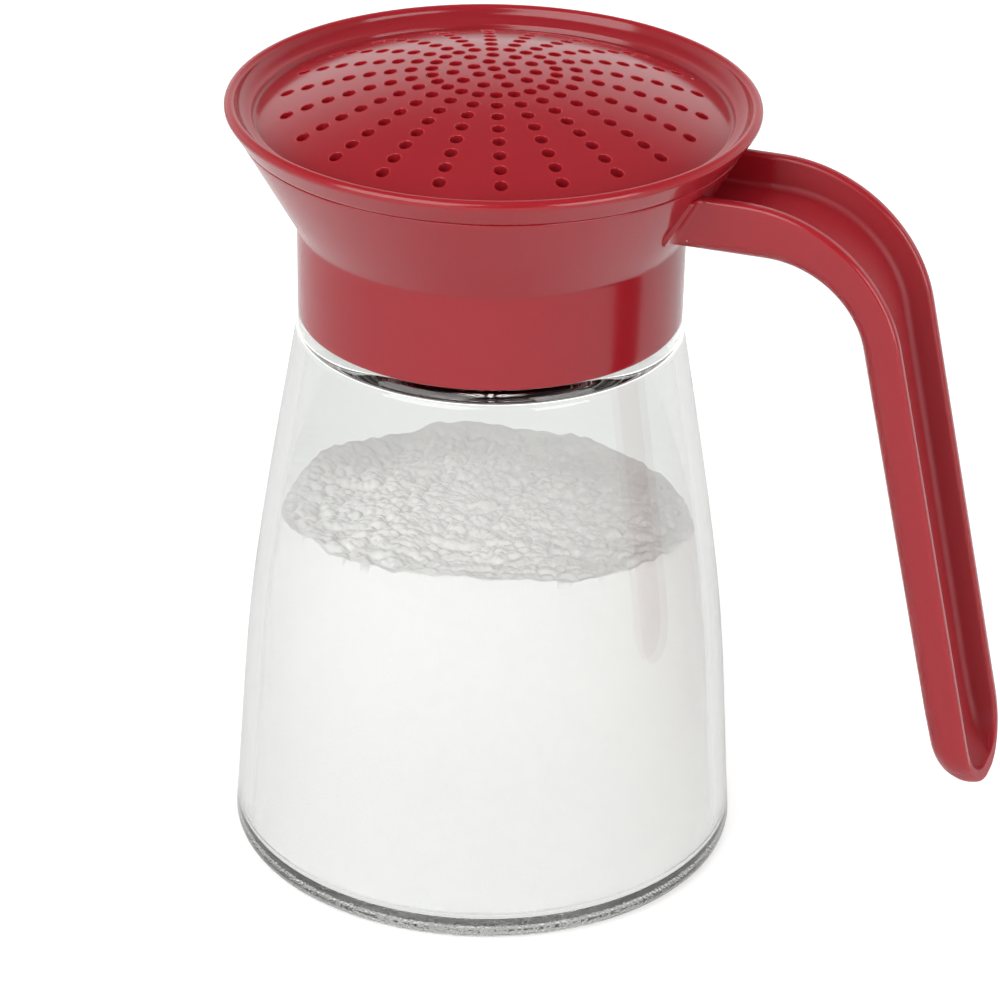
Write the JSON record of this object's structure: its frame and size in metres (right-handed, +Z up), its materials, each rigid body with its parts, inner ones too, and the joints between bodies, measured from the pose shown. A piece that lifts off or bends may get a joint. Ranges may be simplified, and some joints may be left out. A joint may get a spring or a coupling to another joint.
{
  "type": "handled sugar shaker",
  "caption": "Glass sugar shaker jar with a screw-on moulded head: flared collar, channel handle and a domed, perforated sieve.",
  "frame": {"origin": "centre of the ring that the jar stands on, on the jar's axis", "axes": "+Z up along the jar's axis; +X from the axis towards the handle; Y across the handle"},
  "size_m": [0.1268, 0.083, 0.1325],
  "materials": {
    "jar_glass": "clear, glossy",
    "sugar": null,
    "seal_foam": "matt closed-cell foam",
    "red_plastic": "moulded, glossy"
  },
  "bodies": {
    "glass_jar": {"jar": "jar_glass", "sugar_fill": "sugar"},
    "seal": {"seal_ring": "seal_foam"},
    "head": {"handled_collar": "red_plastic", "sieve_cap": "red_plastic"}
  },
  "joints": [
    {"name": "head_rise", "type": "slide", "parent": "glass_jar", "child": "seal", "axis": [0, 0, 1], "range_m": [0, 0.00423]},
    {"name": "head_turn", "type": "hinge", "parent": "seal", "child": "head", "pos_m": [0, 0, 0.1], "axis": [0, 0, 1], "range_deg": [0, 360]}
  ],
  "couplings": [
    {"joint": "head_rise", "follows": "head_turn", "m_per_rad": 0.00067375}
  ]
}
